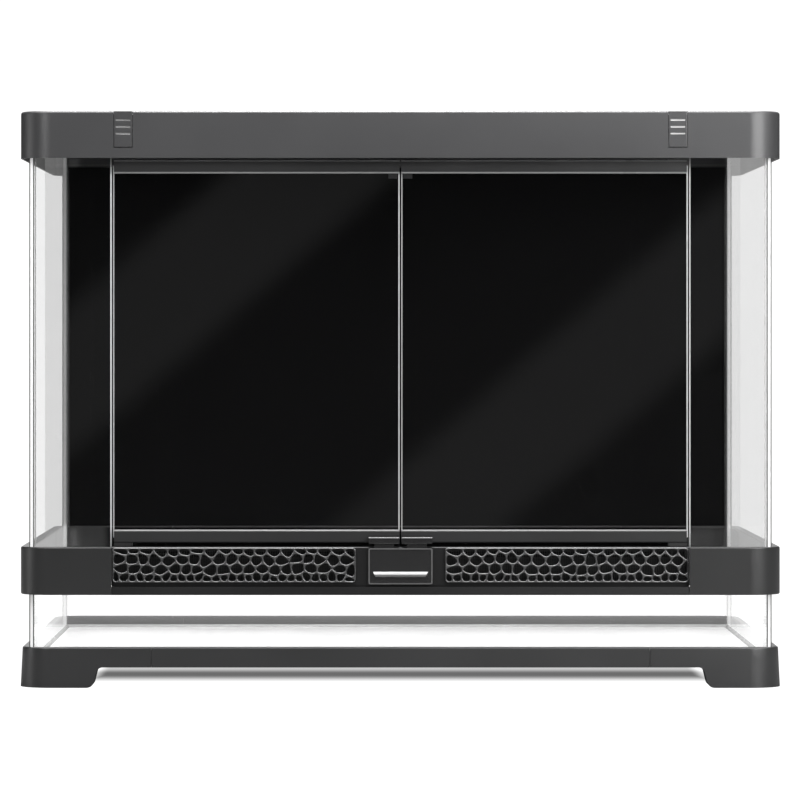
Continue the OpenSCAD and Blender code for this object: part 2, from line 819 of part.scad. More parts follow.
// The rim, the wall and the shelf that the lid's seat is made of, and the skirt inside the shelf
module top_rim() {
    flange = wall + lap;
    seat_wall = rim_w - skirt_t;
    skirt = bar_w - skirt_t;
    difference() {
        union() {
            slab(top_half_w - flange, top_half_d - flange, corner_r - flange, tank_h - rim_t, tank_h);
            slab(top_half_w - seat_wall, top_half_d - seat_wall, corner_r - seat_wall, shelf_z - shelf_t, tank_h - rim_t / 2);
            slab(top_half_w - skirt, top_half_d - skirt, 4 + skirt_t, shelf_z - skirt_h, shelf_z - shelf_t / 2);
        }
        slab(top_half_w - rim_w, top_half_d - rim_w, corner_r - rim_w, shelf_z, tank_h + eps);
        slab(top_half_w - bar_w, top_half_d - bar_w, 4, shelf_z - skirt_h - eps, tank_h);
    }
}

module clip_slot(side) {
    x = clip_w / 2 + 2 * slip;
    translate([side * clip_x, 0, 0])
        block([-x, -top_half_d - eps, clip_foot - clip_foot_gap], [x, -top_half_d + rim_w + eps, tank_h + eps]);
}

function inlet_centre(side, from_side) = side * (half_w - from_side);

// Where a shutter's track runs: from its window towards the middle
function track_span(side, from_side) =
    let (c = inlet_centre(side, from_side), a = shutter_w / 2 + slip)
    side > 0 ? [c - shutter_travel - a, c + a] : [c - a, c + shutter_travel + a];

module inlet_track(side, from_side) {
    span = track_span(side, from_side);
    h = shutter_h / 2 + slip + 1;
    block([span[0] - 1.5, top_half_d - track_depth - track_floor, inlet_z - h],
          [span[1] + 1.5, top_half_d - 1, inlet_z + h]);
}

module inlet_cut(side, from_side) {
    span = track_span(side, from_side);
    mouth = inlet_h / 2 + slip;
    groove = shutter_h / 2 + slip;
    block([span[0], top_half_d - track_lip - eps, inlet_z - mouth], [span[1], top_half_d + eps, inlet_z + mouth]);
    block([span[0], top_half_d - track_depth, inlet_z - groove], [span[1], top_half_d - track_lip, inlet_z + groove]);
    translate([inlet_centre(side, from_side), top_half_d - track_depth, inlet_z])
        cube([inlet_w, 2 * (track_floor + eps), inlet_h], center = true);
}

// A shutter, slid open at rest
module inlet_shutter(side, from_side) {
    x = inlet_centre(side, from_side) - side * shutter_travel;
    back = top_half_d - track_depth + 0.1;
    color(dark) translate([x, 0, inlet_z]) {
        block([-shutter_w / 2, back, -shutter_h / 2], [shutter_w / 2, back + shutter_t, shutter_h / 2]);
        for (i = [-1:1]) translate([i * 3, 0, 0])
            block([-0.6, back + shutter_t - 0.2, -inlet_h / 2 + slip], [0.6, top_half_d - 0.1, inlet_h / 2 - slip]);
    }
}

module lid_clip(side) {
    hook_in = rim_w + free - seam;
    front = -top_half_d;
    color(frame_black) translate([side * clip_x, 0, 0]) difference() {
        union() {
            block([-clip_w / 2, front, clip_foot], [clip_w / 2, front + clip_t, clip_top]);
            block([-clip_w / 2, front, clip_top - hook_t], [clip_w / 2, front + hook_in, clip_top]);
            // gusset under the hook
            side_profile(-0.8, 0.8, [
                [front + 1, clip_top - 1], [front + hook_in - 1, clip_top - 1], [front + clip_t, clip_top - 8],
                [front + 1, clip_top - 8]
            ]);
        }
        // grip grooves
        for (i = [0:2]) translate([0, front, clip_top - 7 - i * grip_pitch])
            cube([clip_w - 2.8, 1.2, 1.2], center = true);
    }
}

// ---------- lid ----------

module lid_frame() {
    mesh_z = lid_z + lid_lip_t;
    r = corner_r - rim_w - free;
    color(frame_black) difference() {
        union() {
            slab(lid_half_w, lid_half_d, r, lid_z, lid_z + lid_h - 1);
            slab(lid_half_w - 1, lid_half_d - 1, r - 1, lid_z + lid_h - 2, lid_z + lid_h);
        }
        for (s = [-1, 1]) lid_window(s);
        translate([0, 0, mesh_z]) linear_extrude(mesh_t + seal)
            plan(lid_half_w - lid_bar_w / 2, lid_half_d - lid_bar_w / 2, 2);
    }
}

// One of the two windows beside the lid's middle bar
module lid_window(side) {
    x0 = lid_middle_bar / 2;
    x1 = lid_half_w - lid_bar_w;
    y = lid_half_d - lid_bar_w;
    translate([side * (x0 + x1) / 2, 0, lid_z - eps]) linear_extrude(lid_h + 2 * eps)
        plan((x1 - x0) / 2, y, 6);
}

// The wire mesh, drawn as a sheet that bears a lamp hood
module lid_mesh() {
    color(steel) translate([0, 0, lid_z + lid_lip_t]) linear_extrude(mesh_t)
        plan(lid_half_w - lid_bar_w / 2 - free, lid_half_d - lid_bar_w / 2 - free, 2);
}

// ---------- the nodes ----------

base_end(-1);  // base_end_left
base_end(1);  // base_end_right
base_rail(-1);  // base_rail_front
base_rail(1);  // base_rail_rear
floor_glass();
side_glass(-1);  // left_glass
side_glass(1);  // right_glass
rear_glass();
lower_front_glass();
front_pane(-1);  // front_pane_left
front_pane(1);  // front_pane_right
silicone_floor();
silicone_corners();
belt_end(-1);  // belt_left
belt_end(1);  // belt_right
belt_rear();
vent_housing();
vent_grille(-1);  // vent_grille_left
vent_grille(1);  // vent_grille_right
vent_mesh(-1);  // vent_mesh_left
vent_mesh(1);  // vent_mesh_right
latch_plate();
latch_spring();
door_glass(-1);  // left_door_glass
door_top_rail(-1);  // left_door_top_rail
door_bottom_rail(-1);  // left_door_bottom_rail
door_catch(-1);  // left_door_catch
door_glass(1);  // right_door_glass
door_top_rail(1);  // right_door_top_rail
door_bottom_rail(1);  // right_door_bottom_rail
door_catch(1);  // right_door_catch
hinge_pins(-1);  // hinge_pins_left
hinge_pins(1);  // hinge_pins_right
background_panel();
top_frame();
lid_clip(-1);  // lid_clip_left
lid_clip(1);  // lid_clip_right
lid_frame();
lid_mesh();
inlet_shutter(-1, inlet_from_side[1]);  // inlet_shutter_1
inlet_shutter(-1, inlet_from_side[0]);  // inlet_shutter_2
inlet_shutter(1, inlet_from_side[0]);  // inlet_shutter_3
inlet_shutter(1, inlet_from_side[1]);  // inlet_shutter_4
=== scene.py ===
# Reptile terrarium: the finish of every piece over the fixed construction.
import json
import math

import bmesh
import bpy
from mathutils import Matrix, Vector


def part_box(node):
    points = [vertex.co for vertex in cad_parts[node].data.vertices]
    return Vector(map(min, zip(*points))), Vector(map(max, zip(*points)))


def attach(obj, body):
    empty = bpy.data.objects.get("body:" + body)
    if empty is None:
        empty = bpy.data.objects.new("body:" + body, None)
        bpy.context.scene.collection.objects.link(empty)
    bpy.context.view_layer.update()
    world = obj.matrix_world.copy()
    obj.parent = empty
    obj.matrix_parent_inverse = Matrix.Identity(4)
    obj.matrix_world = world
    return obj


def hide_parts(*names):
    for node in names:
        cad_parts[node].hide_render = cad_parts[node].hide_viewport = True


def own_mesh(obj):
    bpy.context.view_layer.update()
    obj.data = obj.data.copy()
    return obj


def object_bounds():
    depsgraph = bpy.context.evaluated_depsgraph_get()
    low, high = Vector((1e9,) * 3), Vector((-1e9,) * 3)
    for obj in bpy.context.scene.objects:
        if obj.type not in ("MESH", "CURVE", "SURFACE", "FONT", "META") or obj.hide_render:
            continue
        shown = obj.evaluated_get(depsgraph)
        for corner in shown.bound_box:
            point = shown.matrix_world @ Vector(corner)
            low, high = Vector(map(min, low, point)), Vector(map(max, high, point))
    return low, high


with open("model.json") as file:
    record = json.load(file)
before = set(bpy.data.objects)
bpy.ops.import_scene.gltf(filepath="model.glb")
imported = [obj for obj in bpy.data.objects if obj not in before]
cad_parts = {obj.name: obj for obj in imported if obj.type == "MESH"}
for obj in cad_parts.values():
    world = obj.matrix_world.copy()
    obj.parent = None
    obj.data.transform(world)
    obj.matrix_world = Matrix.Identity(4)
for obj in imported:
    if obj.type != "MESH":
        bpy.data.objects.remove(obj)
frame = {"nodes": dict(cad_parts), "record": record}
built_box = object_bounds()


# ---------- Studio ----------
# A long lens looks straight at the front from a little under four metres, level with the middle of
# the doors. The eye sees white all round. Plastic and glass mirror a dark room with lamps, a bright
# ceiling, a white backdrop and two faint slanting bands.
scene = bpy.context.scene
scene.view_settings.view_transform = "Standard"
front_y = built_box[0][1]
camera_away = 3.9
pixels_per_metre = 1254.9
eye_side, eye_height = -0.028, 0.2809
vanishing_column, horizon_row, picture_side = 365.4, 335.5, 800

camera_data = bpy.data.cameras.new("camera")
camera_data.sensor_width = 36.0
camera_data.lens = camera_data.sensor_width * pixels_per_metre * camera_away / picture_side
camera_data.shift_x = (picture_side / 2 - vanishing_column) / picture_side
camera_data.shift_y = (horizon_row - picture_side / 2) / picture_side
camera_data.clip_end = 60.0
camera = bpy.data.objects.new("camera", camera_data)
camera.location = (eye_side, front_y - camera_away, eye_height)
camera.rotation_euler = (math.pi / 2, 0.0, 0.0)
scene.collection.objects.link(camera)
scene.camera = camera


class Value:
    """A socket that takes part in sums: each operator adds one Math node."""

    def __init__(self, tree, socket):
        self.tree, self.socket = tree, socket

    def maths(self, operation, *others):
        return self.tree.node("ShaderNodeMath", {"operation": operation}, [self, *others])["Value"]

    def __add__(self, other):
        return self.maths("ADD", other)

    __radd__ = __add__

    def __mul__(self, other):
        return self.maths("MULTIPLY", other)

    def __sub__(self, other):
        return self.maths("SUBTRACT", other)

    def __rsub__(self, other):
        return (self * -1.0) + other

    def __truediv__(self, other):
        return self.maths("DIVIDE", other)

    def larger(self, other):
        return self.maths("MAXIMUM", other)

    def smaller(self, other):
        return self.maths("MINIMUM", other)

    def unsigned(self):
        return self.maths("ABSOLUTE")

    def fade(self, low, high, out_low=0.0, out_high=1.0):
        """This value carried smoothly from the span low..high to out_low..out_high."""
        return self.tree.node(
            "ShaderNodeMapRange", {"interpolation_type": "SMOOTHSTEP"}, [self, low, high, out_low, out_high]
        )["Result"]


class Tree:
    """The node tree of a material or of the world, written as expressions."""

    def __init__(self, owner):
        owner.use_nodes = True
        self.nodes, self.links = owner.node_tree.nodes, owner.node_tree.links
        self.nodes.clear()

    def node(self, kind, settings=None, values=()):
        made = self.nodes.new(kind)
        for name, setting in (settings or {}).items():
            setattr(made, name, setting)
        pairs = values.items() if isinstance(values, dict) else enumerate(values)
        for key, value in pairs:
            if isinstance(value, Value):
                self.links.new(value.socket, made.inputs[key])
            elif value is not None:
                made.inputs[key].default_value = value
        outs = {}
        for socket in made.outputs:
            if socket.enabled:
                outs.setdefault(socket.name, Value(self, socket))
        return outs

    def place(self):
        return self.node("ShaderNodeTexCoord")["Object"]

    def axes(self):
        """The place, as three values."""
        return self.node("ShaderNodeSeparateXYZ", values=[self.place()])

    def grain(self, scale, detail=2.0, place=None):
        """A noise of 0 to 1, with scale lumps to the metre."""
        values = {"Vector": place or self.place(), "Scale": scale, "Detail": detail}
        return self.node("ShaderNodeTexNoise", values=values)["Fac"]

    def mixed(self, factor, first, second):
        """Two colours mixed by a factor."""
        return self.node("ShaderNodeMix", {"data_type": "RGBA"}, {0: factor, 6: first, 7: second})["Result"]

    def blend(self, factor, first, second):
        """Two shaders mixed by a factor."""
        return self.node("ShaderNodeMixShader", values={0: factor, 1: first, 2: second})["Shader"]


def grey(level):
    return (level, level, level, 1.0)


def surface(name, draw):
    """A material whose shader is what draw makes in its tree."""
    material = bpy.data.materials.new(name)
    tree = Tree(material)
    tree.node("ShaderNodeOutputMaterial", values={"Surface": draw(tree)})
    return material


world = bpy.data.worlds.new("studio")
scene.world = world
sky = Tree(world)
white_seen, ceiling_mirrored, walls_mirrored, fill = 1.15, 7.0, 0.01, 0.06
ceiling_edge, backdrop_edge, camera_side = (0.75, 0.95), (0.93, 0.98), (0.97, 0.99)
band_mirrored, band_edge, band_places = 0.095, (0.0075, 0.015), (0.0322, -0.0365)
band_rise, band_run = 0.65, 0.76
towards = sky.node("ShaderNodeSeparateXYZ", values=[sky.node("ShaderNodeTexCoord")["Generated"]])
ceiling = towards["Z"].fade(*ceiling_edge)
backdrop = towards["Y"].fade(*backdrop_edge)
near_camera = (towards["Y"] * -1.0).fade(*camera_side)
across_slant = towards["Z"] * band_run - towards["X"] * band_rise
bands = sum((1.0 - (across_slant - place).unsigned().fade(*band_edge) for place in band_places), start=0.0)
mirrored = (
    ceiling * (ceiling_mirrored - walls_mirrored) + walls_mirrored + backdrop * white_seen
    + bands * near_camera * band_mirrored
)
path = sky.node("ShaderNodeLightPath")
seen = path["Is Camera Ray"]
scattered = path["Diffuse Depth"].smaller(1.0)
level = (1.0 - seen) * (scattered * fill + (1.0 - scattered) * mirrored) + seen * white_seen
background = sky.node("ShaderNodeBackground", values={"Strength": level, "Color": grey(1.0)})
sky.node("ShaderNodeOutputWorld", values={"Surface": background["Background"]})


def floor_paper(tree):
    """White paper: it shows its own shadow under the frame's rim, lifted by a faint emission as painted
    light; further in it is painted lighter, a painted light for what comes down through the glass floor;
    round the object it is plain white."""
    side_shade, front_shade, painted_light_span, painted_light_share = (-0.062, -0.045), (-0.15, -0.05), (-0.24, -0.17), 0.5
    paper_level, paper_glow = 0.25, 0.15
    here = tree.axes()
    size = Vector(built_box[1]) - Vector(built_box[0])
    past_side = here["X"].unsigned() - 0.5 * size.x
    past_front = here["Y"].unsigned() - 0.5 * size.y
    open_paper = past_side.fade(*side_shade).larger(past_front.fade(*front_shade))
    # Painted light: the paper under the middle is made whiter by its place.
    painted_light_under_middle = past_front.fade(*painted_light_span, painted_light_share, 0.0)
    straight = tree.node("ShaderNodeLightPath")["Is Camera Ray"]
    matt = tree.node("ShaderNodeBsdfDiffuse", values={"Color": grey(paper_level)})["BSDF"]
    painted_glow = tree.node("ShaderNodeEmission", values={"Color": grey(1.0), "Strength": paper_glow})["Emission"]
    raised = tree.node("ShaderNodeAddShader", values=[matt, painted_glow])["Shader"]
    white = tree.node("ShaderNodeEmission", values={"Color": grey(1.0), "Strength": white_seen})["Emission"]
    return tree.blend((open_paper + painted_light_under_middle) * straight, tree.blend(straight, matt, raised), white)


paper_side, paper_front, paper_rear = 14.0, -1.9, 42.0
paper = bpy.data.meshes.new("studio_floor")
paper.from_pydata([
    (-paper_side, paper_front, 0.0), (paper_side, paper_front, 0.0),
    (paper_side, paper_rear, 0.0), (-paper_side, paper_rear, 0.0),
], [], [(0, 1, 2, 3)])
paper.materials.append(surface("floor_paper", floor_paper))
paper_sheet = bpy.data.objects.new("studio_floor", paper)
scene.collection.objects.link(paper_sheet)


def lamp(name, size, power, place, target):
    """A flat lamp of so many watts at a place, turned to a target."""
    data = bpy.data.lights.new(name, "AREA")
    data.shape = "RECTANGLE"
    data.size, data.size_y = size
    data.energy = power
    made = bpy.data.objects.new(name, data)
    made.location = place
    made.rotation_euler = (Vector(target) - Vector(place)).to_track_quat("-Z", "Y").to_euler()
    scene.collection.objects.link(made)
    return made


top_lamp = lamp("lamp_top", (1.0, 0.12), 2.4, (0.16, -0.6, 0.66), (0.16, -0.2, 0.43))
top_lamp.visible_glossy = False
lamp("lamp_left_strip", (0.14, 0.5), 1.7, (-0.83, -1.28, 0.72), (-0.3, -0.2, 0.44))
lamp("lamp_left_side", (0.5, 0.8), 1.3, (-1.5, -0.2, 0.32), (-0.3, -0.2, 0.3))
lamp("lamp_right_wide", (0.9, 0.8), 9.5, (0.95, -1.2, 0.62), (0.29, -0.2, 0.4))
lamp("lamp_right_side", (0.9, 0.4), 2.5, (1.4, -0.7, 0.8), (0.3, -0.2, 0.44))
lamp("lamp_inside", (0.5, 0.3), 15.0, (0.0, 0.05, 1.7), (0.0, 0.0, 0.0))


# ---------- Base ----------
# The base frame is moulded in charcoal plastic: two footed ends, and a front and a rear rail whose
# tabs go in behind the ends at the seams. The tool left the edges slightly broken and a fine grain
# on the faces.
nodes = frame["nodes"]
home = {node: body for body, names in frame["record"]["behaviour"]["bodies"].items() for node in names}


def joined_copy(name):
    """A copy of a built node with its loose triangles joined and its flat faces whole."""
    same_point, same_plane = 2e-6, math.radians(0.6)
    shape = bmesh.new()
    shape.from_mesh(nodes[name].data)
    bmesh.ops.remove_doubles(shape, verts=shape.verts, dist=same_point)
    bmesh.ops.dissolve_limit(
        shape, angle_limit=same_plane, verts=shape.verts, edges=shape.edges, delimit={"NORMAL"}
    )
    many_sided = [face for face in shape.faces if len(face.verts) > 4]
    bmesh.ops.triangulate(shape, faces=many_sided)
    mesh = bpy.data.meshes.new(name + "_finished")
    shape.to_mesh(mesh)
    shape.free()
    piece = bpy.data.objects.new(name + "_finished", mesh)
    scene.collection.objects.link(piece)
    return piece


def broken_edges(piece, width, steps=2, angle=30.0, clamp=True):
    """Rounds the sharp edges of a piece and shades what is curved smoothly."""
    bevel = piece.modifiers.new("broken_edges", "BEVEL")
    bevel.width, bevel.segments = width, steps
    bevel.limit_method, bevel.angle_limit = "ANGLE", math.radians(angle)
    bevel.use_clamp_overlap = clamp
    bevel.harden_normals = False
    bevel.miter_outer = "MITER_ARC"
    baked = bpy.data.meshes.new_from_object(piece.evaluated_get(bpy.context.evaluated_depsgraph_get()))
    piece.modifiers.clear()
    piece.data = baked
    for face in baked.polygons:
        face.use_smooth = True
    baked.set_sharp_from_angle(angle=math.radians(angle))
    weight = piece.modifiers.new("even_shading", "WEIGHTED_NORMAL")
    weight.keep_sharp = True
    return piece


def dressed(piece, material, name):
    """Gives a finished piece its material and sets it in its node's place."""
    piece.data.materials.clear()
    piece.data.materials.append(material)
    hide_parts(name)
    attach(piece, home[name])
    return piece


def finished(name, material, width, steps=2):
    """A built node with broken edges, in its material and its place."""
    return dressed(broken_edges(joined_copy(name), width, steps), material, name)


def moulded_plastic(name, colour, rough, grain, gloss=1.0, shade=None):
    """Moulded plastic; shade gives how far a place is darkened by painted shade, which also makes it a
    rougher black mirror there.
    """
    grain_depth, grains_to_metre = 0.0002, 2600.0

    def draw(tree):
        cloud = tree.grain(9.0, detail=3.0)
        tint = tree.mixed(cloud, (*[c * 0.93 for c in colour], 1.0), (*[c * 1.07 for c in colour], 1.0))
        sheen = cloud.fade(0.3, 0.7, rough - 0.03, rough + 0.03)
        painted_shade = 0.0
        if shade:
            painted_shade = shade(tree.axes())
            tint = tree.mixed(painted_shade, tint, grey(0.0))
            sheen = sheen + painted_shade * 0.6
        bump = tree.node("ShaderNodeBump", values={
            "Strength": grain, "Distance": grain_depth, "Height": tree.grain(grains_to_metre),
        })["Normal"]
        return tree.node("ShaderNodeBsdfPrincipled", values={
            "Base Color": tint, "Roughness": sheen, "Metallic": painted_shade, "Normal": bump,
            "Specular IOR Level": gloss,
        })["BSDF"]

    return surface(name, draw)


base_charcoal = moulded_plastic("base_charcoal", (0.034, 0.034, 0.035), rough=0.33, grain=0.3)
for name in ("base_end_left", "base_end_right", "base_rail_front", "base_rail_rear"):
    finished(name, base_charcoal, width=0.0007)


# ---------- Panes ----------
# The tank is built of clear float glass, 4 mm thick, with a floor pane etched on top. The panes'
# edges are ground, so they look white where they show. The side panes carry a painted reflection of
# the white room and shining painted light on their edges; the lower front pane carries a painted
# reflection of the white floor, and the side panes' corner faces are painted dark.
def mirroring_glass(name, share_at, painted_reflection_at=None, sheen=0.0):
    """Clear glass without refraction, which at most mirrors as its two faces do together. Its
    sheen is a painted reflection, an emission that stands in for the white room that it mirrors: one for
    all of it, or one for each place."""
    def draw(tree):
        here = tree.axes()
        one_face = tree.node("ShaderNodeFresnel", values={"IOR": 1.5})["Fac"]
        outside = 1.0 - tree.node("ShaderNodeNewGeometry")["Backfacing"]
        share = one_face * 2.0 / (one_face + 1.0) * outside * share_at(here)
        through = tree.node("ShaderNodeBsdfTransparent", values={"Color": grey(0.985)})["BSDF"]
        mirror = tree.node("ShaderNodeBsdfPrincipled", values={
            "Base Color": grey(0.97), "Metallic": 1.0, "Roughness": 0.0,
            "Emission Color": tree.mixed(painted_reflection_at(here), grey(0.0), grey(1.0)) if painted_reflection_at else grey(1.0),
            "Emission Strength": 1.0 if painted_reflection_at else sheen,
        })["BSDF"]
        return tree.blend(share, through, mirror)

    return surface(name, draw)


def plain_pane(name, mirrors, sheen=0.0):
    return mirroring_glass(name, lambda here: mirrors, sheen=sheen)


def side_pane(name, turn_y, ahead, behind, sheen):
    """From the front a side pane is seen nearly edge on and mirrors the white room as a painted
    reflection: by one share ahead of turn_y and by another behind it, and more evenly below the
    belt's edge."""
    low_share, low_painted_reflection = 0.66, 0.8
    belt_edge, turn = (0.112, 0.116), 0.003

    def above(here):
        return here["Z"].fade(*belt_edge)

    def share_at(here):
        upper = here["Y"].fade(turn_y - turn, turn_y + turn, ahead, behind)
        return above(here) * (upper - low_share) + low_share

    return mirroring_glass(name, share_at, lambda here: above(here) * (sheen - low_painted_reflection) + low_painted_reflection)


def ground_glass(name, level, painted_glow=0.0):
    """A ground edge, which lets the lamps shine through. Its emission is painted light that stands in
    for the light that comes along inside the pane to the near end."""
    glow_ends, far_glow = (0.1, 0.15), 0.1

    def draw(tree):
        far_end = tree.axes()["Y"].fade(*glow_ends)
        grind = tree.grain(800.0)
        body = tree.node("ShaderNodeBsdfPrincipled", values={
            "Base Color": tree.mixed(grind, grey(level * 0.97), grey(level * 1.03)),
            "Roughness": grind.fade(0.3, 0.7, 0.4, 0.5), "IOR": 1.5, "Transmission Weight": 0.25,
            "Emission Color": tree.mixed(far_end, grey(1.0), grey(far_glow)), "Emission Strength": painted_glow,
        })["BSDF"]
        for_lamps = tree.node("ShaderNodeBsdfTransparent", values={"Color": grey(0.95)})["BSDF"]
        shadow = tree.node("ShaderNodeLightPath")["Is Shadow Ray"]
        return tree.blend(shadow, body, for_lamps)

    return surface(name, draw)


def painted_dark_corner(tree):
    """The narrow faces along a pane's corners bend the view so far that they look dark; they are painted
    dark.
    """
    return tree.node("ShaderNodeBsdfPrincipled", values={
        "Base Color": tree.mixed(tree.grain(300.0), grey(0.06), grey(0.12)), "Roughness": 0.3,
    })["BSDF"]


def satin_glass(tree):
    """Etched glass, which scatters the light that comes in through the lid."""
    etch = tree.grain(900.0, detail=3.0)
    return tree.node("ShaderNodeBsdfPrincipled", values={
        "Base Color": tree.mixed(etch, grey(0.88), grey(0.93)), "Roughness": etch.fade(0.2, 0.8, 0.32, 0.4),
    })["BSDF"]


def painted(piece, material, chosen):
    """Gives a further material to the faces of a piece for which chosen holds."""
    piece.data.materials.append(material)
    for face in piece.data.polygons:
        if chosen(face):
            face.material_index = len(piece.data.materials) - 1


def pane(name, face_material, ground, tilt, edge, corner=None):
    """A pane whose faces count as edges where they turn from the broad ones by more than tilt
    degrees. The narrow faces along its corners have a material of their own where one is given."""
    across, along = 0.1, 0.99
    piece = finished(name, face_material, ground, steps=1)
    low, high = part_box(name)
    size = high - low
    thin = min(range(3), key=lambda axis: size[axis])
    painted(piece, edge, lambda face: abs(face.normal[thin]) <= math.cos(math.radians(tilt)))
    if corner:
        painted(piece, corner, lambda face: across < abs(face.normal[thin]) < along)


thin_grind, wide_grind = 0.0004, 0.0009
every_edge, steep_edge = 20.0, 80.0
clear_glass = plain_pane("clear_glass", 1.0)
ground_edge = ground_glass("ground_edge", 0.94)
# The side panes' edges shine with painted light from an emission.
painted_glow_edge = ground_glass("painted_glow_edge", 0.94, painted_glow=0.35)
pane_corner = surface("pane_chamfer", painted_dark_corner)
left_side_glass = side_pane("left_side_glass", turn_y=-0.082, ahead=0.22, behind=0.55, sheen=0.3)
right_side_glass = side_pane("right_side_glass", turn_y=0.06, ahead=0.58, behind=0.75, sheen=0.6)
pane("left_glass", left_side_glass, wide_grind, steep_edge, painted_glow_edge, corner=pane_corner)
pane("right_glass", right_side_glass, wide_grind, steep_edge, painted_glow_edge, corner=pane_corner)
pane("rear_glass", plain_pane("backed_glass", 0.02), thin_grind, steep_edge, ground_edge)
# The lower front pane's sheen is a painted reflection of the white floor.
pane("lower_front_glass", plain_pane("low_glass", 1.0, sheen=1.6), thin_grind, steep_edge, ground_edge)
for name in ("front_pane_left", "front_pane_right"):
    pane(name, clear_glass, wide_grind, every_edge, ground_edge)
pane("floor_glass", surface("satin_floor", satin_glass), thin_grind, steep_edge, ground_edge)


# ---------- Silicone ----------
# Seams of clear silicone hold the panes together, smoothed with a fingertip along the corners.
# The seam round the floor pane is thicker and looks greyer.
def clear_silicone(name, share, level):
    """Silicone that hides a share of what is behind it."""
    def draw(tree):
        wave = tree.grain(60.0)
        body = tree.node("ShaderNodeBsdfPrincipled", values={
            "Base Color": tree.mixed(wave, grey(level * 0.97), grey(level * 1.03)),
            "Roughness": wave.fade(0.3, 0.7, 0.25, 0.35),
        })["BSDF"]
        through = tree.node("ShaderNodeBsdfTransparent", values={"Color": grey(0.97)})["BSDF"]
        return tree.blend(share, through, body)

    return surface(name, draw)


thin_silicone = clear_silicone("thin_silicone", share=0.05, level=0.87)
thick_silicone = clear_silicone("thick_silicone", share=0.5, level=0.45)
dressed(joined_copy("silicone_corners"), thin_silicone, "silicone_corners")
dressed(joined_copy("silicone_floor"), thick_silicone, "silicone_floor")


# ---------- Vent strip ----------
# The housing under the doors is a black moulding, darker than the frames. Each grille is a net of
# rounded ribs between pebble-shaped cells, moulded in one piece and clipped in from the front.
# The upper edges of the ribs carry a painted highlight, and the ribs' sides painted shade.
vent_plastic = moulded_plastic("vent_plastic", (0.012, 0.012, 0.0124), rough=0.35, grain=0.25, gloss=0.5)
grille_plastic = moulded_plastic("grille_plastic", (0.068, 0.068, 0.069), rough=0.28, grain=0.2)
grille_painted_shade = moulded_plastic("grille_painted_shade", (0.024, 0.024, 0.0244), rough=0.28, grain=0.2)
grille_painted_highlight = moulded_plastic("grille_painted_highlight", (0.26, 0.26, 0.262), rough=0.25, grain=0.1)
facing_front, turned_front, turned_up = -0.9, -0.1, 0.25
finished("vent_housing", vent_plastic, width=0.0001)
for name in ("vent_grille_left", "vent_grille_right"):
    net = broken_edges(joined_copy(name), 0.0004, steps=1, angle=40.0, clamp=False)
    dressed(net, grille_plastic, name)
    # Painted shade on the ribs' sides and a painted highlight on their upper edges.
    painted(net, grille_painted_shade, lambda face: face.normal.y > facing_front)
    painted(net, grille_painted_highlight, lambda face: face.normal.y < turned_front and face.normal.z > turned_up)


# ---------- Vent meshes ----------
# Black coated steel wire, crossed and welded, lies against the housing's wall behind each grille.
# One tree lays straight wires both ways across a rectangle.
def wire_grid_tree():
    """Wires across a rectangle: Width and Depth of the sheet, Pitch and Thickness of the wire."""
    tree = bpy.data.node_groups.new("wire_grid", "GeometryNodeTree")
    tree.interface.new_socket("Geometry", in_out="OUTPUT", socket_type="NodeSocketGeometry")
    for name in ("Width", "Depth", "Pitch", "Thickness"):
        tree.interface.new_socket(name, in_out="INPUT", socket_type="NodeSocketFloat")
    tree.interface.new_socket("Material", in_out="INPUT", socket_type="NodeSocketMaterial")
    add, wire = tree.nodes.new, tree.links.new
    given = add("NodeGroupInput")

    def fed(node, *values):
        """The node, with its inputs set to numbers or linked."""
        for index, value in enumerate(values):
            if isinstance(value, (int, float)):
                node.inputs[index].default_value = value
            else:
                wire(value, node.inputs[index])
        return node.outputs[0]

    def maths(operation, first, second):
        node = add("ShaderNodeMath")
        node.operation = operation
        return fed(node, first, second)

    def vector(x=0.0, y=0.0, z=0.0):
        return fed(add("ShaderNodeCombineXYZ"), x, y, z)

    def run(long, across, turned):
        """The wires that run one way: long is their length, across the width that they share."""
        count = maths("FLOOR", maths("DIVIDE", across, given.outputs["Pitch"]), 0.0)
        spread = maths("MULTIPLY", maths("SUBTRACT", count, 1.0), given.outputs["Pitch"])
        start = maths("MULTIPLY", spread, -0.5)
        height = maths("MULTIPLY", given.outputs["Thickness"], -0.25 if turned else 0.25)
        line = add("GeometryNodeMeshLine")
        wire(count, line.inputs["Count"])
        if turned:
            wire(vector(start, 0.0, height), line.inputs["Start Location"])
            wire(vector(given.outputs["Pitch"]), line.inputs["Offset"])
        else:
            wire(vector(0.0, start, height), line.inputs["Start Location"])
            wire(vector(0.0, given.outputs["Pitch"]), line.inputs["Offset"])
        rod = add("GeometryNodeMeshCylinder")
        rod.inputs["Vertices"].default_value = 6
        wire(maths("MULTIPLY", given.outputs["Thickness"], 0.5), rod.inputs["Radius"])
        wire(long, rod.inputs["Depth"])
        place = add("GeometryNodeInstanceOnPoints")
        wire(line.outputs["Mesh"], place.inputs["Points"])
        wire(rod.outputs["Mesh"], place.inputs["Instance"])
        lying = (math.pi / 2, 0.0, 0.0) if turned else (0.0, math.pi / 2, 0.0)
        place.inputs["Rotation"].default_value = lying
        return place.outputs["Instances"]

    join = add("GeometryNodeJoinGeometry")
    wire(run(given.outputs["Width"], given.outputs["Depth"], False), join.inputs[0])
    wire(run(given.outputs["Depth"], given.outputs["Width"], True), join.inputs[0])
    real = add("GeometryNodeRealizeInstances")
    wire(join.outputs[0], real.inputs[0])
    paint = add("GeometryNodeSetMaterial")
    wire(real.outputs[0], paint.inputs["Geometry"])
    wire(given.outputs["Material"], paint.inputs["Material"])
    wire(paint.outputs[0], add("NodeGroupOutput").inputs[0])
    return tree


